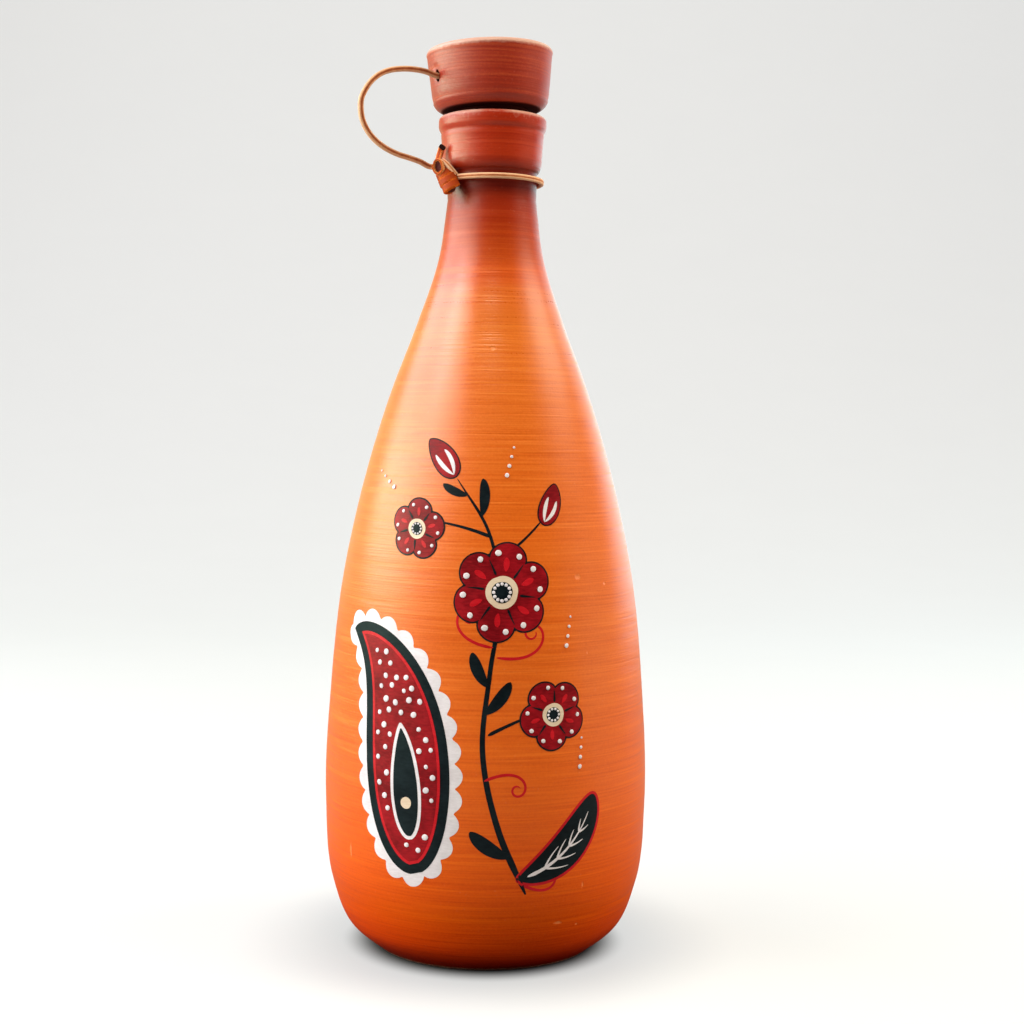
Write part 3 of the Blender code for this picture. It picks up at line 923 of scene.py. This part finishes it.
def wound_knot(name, centre, along, length, radius, wraps, band, thickness, hidden, slant):
    """Flat turns of lace wound tightly round a short axis, with both ends drawn in on the hidden side.

    slant is how far a turn runs down the axis for each unit that it reaches away from the hidden side.
    """
    side = (hidden - along * hidden.dot(along)).normalized()
    other = along.cross(side)
    route, facing = [], []
    for share in np.linspace(0, 1, 40 * wraps):
        swing = math.tau * wraps * share
        out = side * math.cos(swing) + other * math.sin(swing)
        across = 2 * share - 1
        tucked = 0.25 * max(0, 1 - wraps * min(share, 1 - share) / 0.3)
        reach = (radius - thickness / 2) * (math.sqrt(1 - 0.22 * across**2) - tucked)
        shift = (length - band) / 2 * across - slant * reach * math.cos(swing)
        route.append(centre + along * shift + out * reach)
        facing.append(out)
    sizes = {"width": band, "thickness": thickness, "easing": 0.0005}
    return lace_piece(name, route, facing, **sizes, rub=0.9, finish=waxed_leather)


def knot_heart(name, centre, along, length, radius, hidden, slant):
    """The strands inside a knot; their ends, where they show, are darkened as painted shade."""
    side = (hidden - along * hidden.dot(along)).normalized()
    work = bmesh.new()
    bmesh.ops.create_uvsphere(work, u_segments=28, v_segments=18, radius=1.0)
    work.transform(along.to_track_quat("Z", "Y").to_matrix().to_4x4())
    depth = []
    for vert in work.verts:
        level = vert.co.dot(along)
        out = (vert.co - along * level) * radius
        depth.append(abs(level))
        vert.co = centre + out + along * (level * length / 2 - slant * out.dot(side))
    mesh = bpy.data.meshes.new(name)
    work.to_mesh(mesh)
    work.free()
    mesh.shade_smooth()
    mesh.materials.append(leather)
    attribute(mesh, "cut", "FLOAT", [0.75 * rise(level, 0.4, 0.75) for level in depth])
    return new_object(name, mesh)


wrap_centre = knot_centre + knot_along * 0.0008 + Vector((0.0010, -0.0007, -0.0007))
knot_back = {"hidden": Vector((0, 1, 0)), "slant": 0.62}
neck_knot = wound_knot(
    "neck_knot_wraps",
    wrap_centre,
    knot_along,
    knot_length,
    knot_radius + 0.0002,
    wraps=3,
    band=0.0030,
    thickness=0.0012,
    **knot_back,
)
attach(neck_knot, "neck_tie")
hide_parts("neck_knot")
heart_size = (knot_length - 0.0004, knot_radius - 0.0007)
knot_fill = knot_heart("knot_heart", wrap_centre, knot_along, *heart_size, **knot_back)
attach(knot_fill, "neck_tie")

eye_out = around(math.radians(36), 1, 0)
eye_side = Vector((0, 0, 1)).cross(eye_out)
eye_up = (Vector((0, 0, 1)) - 0.18 * eye_side).normalized()
eye_centre = knot_top + knot_along * 0.0024 + knot_side * 0.0024 + around(knot_azimuth, 1, 0) * 0.0026
eye_route = []
for share in np.linspace(0, 1, 48):
    swing = math.radians(160) + math.radians(380) * share
    ring = eye_side * math.cos(swing) * eye_width / 2 + eye_up * math.sin(swing) * eye_height / 2
    eye_route.append(eye_centre + ring + eye_out * 0.0003 * (1 - 2 * share))
eye_size = {"width": 0.0008, "thickness": 0.0014, "easing": 0.00035}
knot_eye = lace_piece("knot_eye", eye_route, eye_out, **eye_size, rub=1.9, finish=waxed_leather)
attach(knot_eye, "neck_tie")
# A stub of lace fills the eye for the strand ends; its dark leather is partly painted shade
core_route = [eye_centre + eye_out * reach for reach in np.linspace(-0.0024, -0.0003, 8)]
core_size = {"width": 0.0046, "thickness": 0.0034, "easing": 0.0014}
knot_core = lace_piece("knot_core", core_route, eye_side, **core_size, rub=0.6, finish=dark_leather)
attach(knot_core, "neck_tie")

strand_points = [
    (-0.0168, -0.0108, 0.2619),
    (-0.0154, -0.0124, 0.2606),
    (-0.0140, -0.0128, 0.2591),
    (-0.0127, -0.0127, 0.2576),
    (-0.0119, -0.0127, 0.2566),
]
strand_route = smooth_curve(strand_points, 26)
strand_facing = Vector((0.35, -0.8, 0.45)).normalized()
strand_size = {"width": 0.0021, "thickness": 0.0013, "rub": 4.5}
knot_strand = lace_piece("knot_strand", strand_route, strand_facing, **strand_size, finish=painted_highlight_leather)
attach(knot_strand, "neck_tie")

hole_axis = (inner_hole - outer_hole).normalized()
end_centre = inner_hole + hole_axis * (cord_gap + end_knot_length / 2)
end_back = {"hidden": Vector((0, 0, -1)), "slant": 0.1}
end_knot = wound_knot(
    "stopper_knot_wraps",
    end_centre,
    hole_axis,
    end_knot_length,
    end_knot_radius,
    wraps=2,
    band=0.0026,
    thickness=0.0010,
    **end_back,
)
heart_size = (end_knot_length - 0.0002, end_knot_radius - 0.0005)
end_fill = knot_heart("stopper_knot_heart", end_centre, hole_axis, *heart_size, **end_back)
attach(end_fill, "stopper")
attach(end_knot, "stopper")
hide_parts("stopper_knot")


# Painting. A spray of flowers beside a large paisley, brushed on the front in enamel after the
# firing. Each colour is a thin film on the clay, later coats lie on earlier ones, and the white
# dots on the crimson are set one by one.
paint_coat = 0.00005
paint_root = 0.00006
cell_across = 0.0024
cell_up = 0.0016
outline_step = 0.0006
hand = np.random.default_rng(7)
films = []
dots = []


def scroll(start, heading, length, bend, curl=0.0):
    """Points of a line that leaves at this heading in degrees, bends evenly, and curls in towards its end."""
    share = np.linspace(0, 1, max(8, int(length / outline_step)))
    angle = np.radians(heading + bend * share + curl * share**3)
    steps = np.column_stack([np.cos(angle), np.sin(angle)]) * length / (len(share) - 1)
    return np.array(start) + np.cumsum(steps, axis=0) - steps[0]


def blade(spine, half_width, form="leaf", end_share=0.2):
    """Outline of a stroke along a spine: a leaf, a drop with a round start, or a line.

    A line thins towards its end, to end_share of its width.
    """
    share = np.linspace(0.004, 0.996, len(spine))
    if form == "leaf":
        swell = 1.9 * share**0.75 * (1 - share) ** 0.6
    elif form == "drop":
        swell = 2.2 * share**0.5 * (1 - share) ** 0.72
    else:
        swell = (1 - (1 - end_share) * share) * np.minimum(1, np.sqrt(12 * np.minimum(share, 1 - share)))
    along = np.gradient(spine, axis=0)
    along /= np.linalg.norm(along, axis=1)[:, None]
    side = np.column_stack([-along[:, 1], along[:, 0]]) * (half_width * swell)[:, None]
    return np.concatenate([spine - side, (spine + side)[::-1]])


def heading_at(way, k):
    """The heading in degrees of a line at its point k."""
    ahead = way[k + 1] - way[k]
    return math.degrees(math.atan2(ahead[1], ahead[0]))


def toward(heading):
    """A unit step at this heading in degrees."""
    return np.array([math.cos(math.radians(heading)), math.sin(math.radians(heading))])


def evenly(outline):
    """The closed outline with its points the same small step apart."""
    ring = np.vstack([outline, outline[:1]])
    place = np.concatenate([[0], np.cumsum(np.linalg.norm(np.diff(ring, axis=0), axis=1))])
    marks = np.linspace(0, place[-1], max(12, int(place[-1] / outline_step)), endpoint=False)
    return np.column_stack([np.interp(marks, place, ring[:, axis]) for axis in (0, 1)])


def drawn_in(outline, gap):
    """The outline moved inwards by gap on every side, or outwards where gap is negative."""
    outline = evenly(outline)
    along = np.roll(outline, -1, axis=0) - np.roll(outline, 1, axis=0)
    inward = np.column_stack([-along[:, 1], along[:, 0]]) / np.linalg.norm(along, axis=1)[:, None]
    moved = outline + inward * gap
    nearest = np.linalg.norm(moved[:, None] - outline[None], axis=2).min(axis=1)
    return moved[nearest > 0.93 * abs(gap)]


def scalloped(outline, depth, width):
    """The outline with rounded scallops of this width standing out from it."""
    outline = evenly(outline)
    along = np.roll(outline, -1, axis=0) - np.roll(outline, 1, axis=0)
    outward = np.column_stack([along[:, 1], -along[:, 0]]) / np.linalg.norm(along, axis=1)[:, None]
    count = round(len(outline) * outline_step / width)
    share = np.arange(len(outline)) / len(outline)
    return outline + outward * (depth * np.abs(np.sin(math.pi * count * share)) ** 0.7)[:, None]


def rosette(centre, radius, petals, turn, cleft=0.30):
    """Outline of a flower seen from the front, with this many round petals."""
    angle = np.linspace(0, math.tau, int(math.tau * radius * 1.5 / outline_step), endpoint=False)
    wave = np.abs(np.cos(petals / 2 * (angle - math.radians(turn)))) ** 0.55
    reach = radius * (1 - cleft + cleft * wave)
    return np.array(centre) + np.column_stack([np.cos(angle), np.sin(angle)]) * reach[:, None]


def disc(centre, radius):
    """A round outline, a little uneven as a brush leaves it."""
    return rosette(centre, radius, 3, float(hand.uniform(0, 90)), cleft=0.06)


def within(points, outline):
    """Which of the points lie inside the closed outline."""
    ahead = np.roll(outline, -1, axis=0)
    crossings = np.zeros(len(points), int)
    for (x0, y0), (x1, y1) in zip(outline, ahead):
        spans = (points[:, 1] < y0) != (points[:, 1] < y1)
        reach = x0 + (points[:, 1] - y0) / (y1 - y0 if y1 != y0 else 1) * (x1 - x0)
        crossings += spans & (points[:, 0] < reach)
    return crossings % 2 == 1


def paint(colour, coat, outline):
    """Keeps one stroke: its colour, the number of its coat from the clay up, and its outline."""
    films.append((colour, coat, evenly(outline)))


def dotted(outline, pitch, radius, edge, keep_out=()):
    """Sets white dots on a shape in rows, a little out of line, clear of its edge and of other shapes."""
    low, high = outline.min(axis=0), outline.max(axis=0)
    inner = drawn_in(outline, edge)
    rows = []
    for k, up in enumerate(np.arange(low[1] + pitch / 3, high[1], pitch * 0.87)):
        for across in np.arange(low[0] + pitch / 2 * (k % 2), high[0], pitch):
            rows.append((across, up))
    spots = np.array(rows) + hand.normal(0, 0.11 * pitch, (len(rows), 2))
    spots = spots[within(spots, inner)]
    for other in keep_out:
        spots = spots[~within(spots, other)]
    dots.extend((x, z, radius * hand.uniform(0.82, 1.2)) for x, z in spots)


def flower(centre, radius, petals, turn):
    """A dotted crimson flower on a thin black ground, with a cream ring round a black heart."""
    centre = np.array(centre)
    shape = rosette(centre, radius, petals, turn)
    paint("black", 2, drawn_in(shape, -0.0005))
    paint("crimson", 3, shape)
    for k in range(petals):
        swing = turn + 360 / petals * (k + 0.5)
        crease = scroll(centre + toward(swing) * radius * 0.36, swing, radius * 0.36, 8)
        paint("black", 4, blade(crease, 0.00045, "line"))
        swing = turn + 360 / petals * k
        sheen = scroll(centre + toward(swing) * radius * 0.42, swing, radius * 0.30, 12)
        paint("red", 4, blade(sheen, radius * 0.085))
        for spread in (-13, 13):
            spot = centre + toward(swing + spread * 7 / petals * 1.05) * radius * 0.80
            dots.append((*spot, 0.062 * radius))
    paint("cream", 4, disc(centre, radius * 0.34))
    paint("black", 5, disc(centre, radius * 0.22))
    for k in range(2 * petals):
        spot = centre + toward(180 * k / petals) * radius * 0.17
        dots.append((*spot, 0.030 * radius + 0.00008))


def bud(start, heading, length, width, bend):
    """A closed bud: a crimson drop held by two white sepals."""
    spine = scroll(start, heading, length, bend)
    paint("black", 2, drawn_in(blade(spine, width, "drop"), -0.0004))
    paint("crimson", 3, blade(spine, width, "drop"))
    for side in (-1, 1):
        sepal = scroll(spine[1], heading + side * 34, length * 0.62, -side * 42 + bend * 0.6)
        paint("white", 4, blade(sepal, width * 0.23))


# The stem, its leaves, tendrils and buds
stem_way = [
    (0.013, 0.029),
    (0.004, 0.050),
    (-0.001, 0.074),
    (0.001, 0.098),
    (0.004, 0.122),
    (0.000, 0.142),
    (-0.010, 0.158),
]
stem = smooth_curve(stem_way, 260)
paint("black", 1, blade(stem, 0.0011, "line", end_share=0.35))
for share, side, length, width in (
    (0.10, -1, 0.015, 0.0030),
    (0.44, 1, 0.013, 0.0026),
    (0.50, -1, 0.012, 0.0025),
    (0.62, -1, 0.014, 0.0027),
    (0.90, 1, 0.012, 0.0022),
    (0.96, -1, 0.009, 0.0018),
):
    k = int(share * (len(stem) - 2))
    leaf = scroll(stem[k], heading_at(stem, k) - side * 48, length, side * 30)
    paint("black", 2, blade(leaf, width))

# Low on the right, one broad leaf with a red edge
broad = scroll((0.0105, 0.034), 12, 0.038, 62)
paint("red", 1, drawn_in(blade(broad, 0.0078), -0.0009))
paint("black", 2, blade(broad, 0.0078))
paint("white", 3, blade(broad[5:-9], 0.0006, "line"))
for share in (0.24, 0.38, 0.52, 0.66):
    k = int(share * len(broad))
    for side in (-1, 1):
        rib = scroll(broad[k], heading_at(broad, k) + side * 38, 0.0092 * (1.15 - share), -side * 22)
        paint("white", 3, blade(rib, 0.00036, "line"))

# The paisley: a scalloped white edge, a black band, a red line and a dotted crimson middle
bend_way = scroll((-0.0215, 0.0335), 106, 0.088, -48, 122)
paisley = blade(bend_way, 0.0172, "drop")
paint("white", 1, scalloped(paisley, 0.0028, 0.0078))
paint("black", 2, drawn_in(paisley, 0.0014))
paint("red", 3, drawn_in(paisley, 0.0044))
middle = drawn_in(paisley, 0.0054)
paint("crimson", 4, middle)
core = blade(bend_way[int(0.14 * len(bend_way)):int(0.56 * len(bend_way))], 0.0056, "drop")
paint("white", 5, core)
paint("black", 6, drawn_in(core, 0.0011))
paint("cream", 7, disc(bend_way[int(0.27 * len(bend_way))], 0.0019))
dotted(middle, 0.0043, 0.00084, 0.0011, keep_out=[drawn_in(core, -0.0013)])

# Flowers, buds and tendrils
flower((0.0045, 0.1230), 0.0152, 6, 20)
flower((0.0215, 0.0850), 0.0108, 5, 50)
flower((-0.0235, 0.1420), 0.0094, 5, 10)
paint("black", 1, blade(scroll((0.0005, 0.0790), 28, 0.018, -10), 0.0006, "line", end_share=0.5))
paint("black", 1, blade(scroll((0.0010, 0.1400), 158, 0.017, 14), 0.0006, "line", end_share=0.5))
bud((-0.0108, 0.1585), 118, 0.0145, 0.0040, 18)
bud((0.0178, 0.1440), 62, 0.0130, 0.0036, 20)
paint("black", 1, blade(scroll((0.0035, 0.1330), 34, 0.018, 14), 0.0005, "line", end_share=0.6))
for start, heading, length, bend, curl in (
    ((0.0030, 0.1030), -10, 0.034, 60, 420),
    ((-0.0005, 0.0650), 24, 0.026, -40, -400),
    ((0.0020, 0.1060), 172, 0.030, -50, -420),
    ((0.0105, 0.0330), -30, 0.022, 20, 330),
):
    paint("red", 1, blade(scroll(start, heading, length, bend, curl), 0.0005, "line", end_share=0.6))
for start, heading in (
    ((0.0050, 0.1560), 70),
    ((0.0255, 0.1030), 75),
    ((-0.0310, 0.1530), 140),
    ((0.0310, 0.0650), 80),
):
    for k in range(4):
        spot = scroll(start, heading, 0.0032 + 0.0030 * k, 12)[-1]
        dots.append((*spot, 0.00075 - 0.00012 * k))

skin_points = [v.co for v in bottle.data.vertices]
clay_skin = BVHTree.FromPolygons(skin_points, [tuple(f.vertices) for f in bottle.data.polygons])


def on_clay(across, up):
    """Place and outward normal on the clay this far right of the front, along the skin, at this height."""
    turn = -across / body_radius(up)
    place, normal, face, distance = clay_skin.ray_cast(around(turn, 0.08, up), -around(turn, 1, 0))
    return place, normal


def cells(outline):
    """Corners and faces of a flat outline, cut into cells small enough to follow the round clay."""
    work = bmesh.new()
    work.faces.new([work.verts.new((x, z, 0)) for x, z in outline])
    low, high = outline.min(axis=0), outline.max(axis=0)
    for axis, cell in ((0, cell_across), (1, cell_up)):
        normal = Vector((axis == 0, axis == 1, 0))
        for level in np.arange(low[axis] + cell / 2, high[axis], cell):
            every = work.verts[:] + work.edges[:] + work.faces[:]
            place = normal * float(level)
            bmesh.ops.bisect_plane(work, geom=every, dist=1e-7, plane_co=place, plane_no=normal)
    bmesh.ops.triangulate(work, faces=work.faces[:])
    work.verts.index_update()
    corners = [tuple(v.co) for v in work.verts]
    faces = [tuple(v.index for v in f.verts) for f in work.faces]
    if work.faces and sum(f.normal.z * f.calc_area() for f in work.faces) < 0:
        faces = [f[::-1] for f in faces]
    work.free()
    return corners, faces


def film(name, strokes, enamel):
    """All strokes of one colour as closed films, rooted in the clay and as thick as their coat says."""
    places, faces = [], []
    for coat, outline in strokes:
        corners, pieces = cells(outline)
        ground = [on_clay(x, z) for x, z, flat in corners]
        root, top = len(places), len(places) + len(corners)
        places += [place - normal * paint_root for place, normal in ground]
        places += [place + normal * paint_coat * coat for place, normal in ground]
        faces += [tuple(top + k for k in piece) for piece in pieces]
        faces += [tuple(root + k for k in piece[::-1]) for piece in pieces]
        sides = {(a, b) for piece in pieces for a, b in zip(piece, piece[1:] + piece[:1])}
        faces += [(root + a, root + b, top + b, top + a) for a, b in sides if (b, a) not in sides]
    mesh = bpy.data.meshes.new(name)
    mesh.from_pydata([tuple(p) for p in places], [], faces)
    mesh.shade_smooth()
    mesh.set_sharp_from_angle(angle=math.radians(50))
    mesh.materials.append(enamel)
    return new_object(name, mesh)


def enamel_material(name, deep, bright, gloss=0.24):
    """Satin enamel: the colour gathers and thins along the strokes, and the turning marks show through it."""
    material, tree, shader = new_material(name, {"Specular IOR Level": gloss})
    here = add(tree, "ShaderNodeTexCoord").outputs["Object"]
    pooled = noise(tree, here, 110.0, 3.0)
    along = vectors(tree, "MULTIPLY", here, (500, 500, 1700))
    bristles = noise(tree, along, 1.0, 3.0)
    tone = maths(tree, "MULTIPLY", pooled, 0.6)
    tone = maths(tree, "MULTIPLY_ADD", bristles, 0.4, tone)
    colour = colour_ramp(tree, tone, [(0.38, deep), (0.64, bright)])
    tree.links.new(colour, shader.inputs["Base Color"])
    tree.links.new(ranged(tree, bristles, 0.3, 0.7, 0.34, 0.50), shader.inputs["Roughness"])
    marks = add(tree, "ShaderNodeGroup", node_tree=marks_group).outputs
    relief = maths(tree, "MULTIPLY_ADD", marks["Fine"], 0.5, bristles)
    relief = maths(tree, "MULTIPLY_ADD", marks["Medium"], 0.5, relief)
    set_relief(tree, shader, relief, 0.3, 0.00012)
    return material


def dot_tree():
    """Sets a low round blob of paint on every point, facing the way it says and as wide as its size."""
    tree, (points, tall, enamel) = geometry_tree("paint dots", Points="", Height=0.0001, Enamel=None)
    blob = add(tree, "GeometryNodeMeshUVSphere", {"Segments": 18, "Rings": 8, "Radius": 1.0}).outputs["Mesh"]
    size = stored(tree, "size", "FLOAT")
    links = {"Vector": stored(tree, "facing", "FLOAT_VECTOR")}
    turn = add(tree, "FunctionNodeAlignRotationToVector", links, axis="Z").outputs[0]
    links = {"Min": 0.88, "Max": 1.12, "Seed": 3}
    oval = add(tree, "FunctionNodeRandomValue", links, data_type="FLOAT").outputs["Value"]
    wide = maths(tree, "MULTIPLY", size, oval)
    scale = add(tree, "ShaderNodeCombineXYZ", {"X": wide, "Y": size, "Z": tall}).outputs[0]
    links = {"Points": points, "Instance": blob, "Rotation": turn, "Scale": scale}
    return close_tree(tree, add(tree, "GeometryNodeInstanceOnPoints", links).outputs[0], enamel)


enamels = {
    "crimson": enamel_material("crimson enamel", (0.17, 0.0018, 0.0055), (0.38, 0.0060, 0.0140), 0.14),
    "black": enamel_material("black enamel", (0.0022, 0.0055, 0.0085), (0.0075, 0.0150, 0.0205), 0.13),
    "white": enamel_material("white enamel", (0.72, 0.66, 0.73), (0.88, 0.82, 0.91)),
    "cream": enamel_material("cream enamel", (0.76, 0.58, 0.44), (0.86, 0.70, 0.56)),
    "red": enamel_material("red enamel", (0.50, 0.0045, 0.0120), (0.64, 0.0110, 0.0220), 0.17),
}
for colour, enamel in enamels.items():
    strokes = [(coat, outline) for kept, coat, outline in films if kept == colour]
    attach(film("paint_" + colour, strokes, enamel), "bottle")

dot_level = 5
dot_height = 0.00013
grounds = [on_clay(across, up) for across, up, radius in dots]
dot_seed = seed_points([place + normal * paint_coat * dot_level for place, normal in grounds])
attribute(dot_seed.data, "facing", "FLOAT_VECTOR", [tuple(normal) for place, normal in grounds])
attribute(dot_seed.data, "size", "FLOAT", [radius for across, up, radius in dots])
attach(grown(dot_seed, dot_tree(), "paint_dots", Height=dot_height, Enamel=enamels["white"]), "bottle")
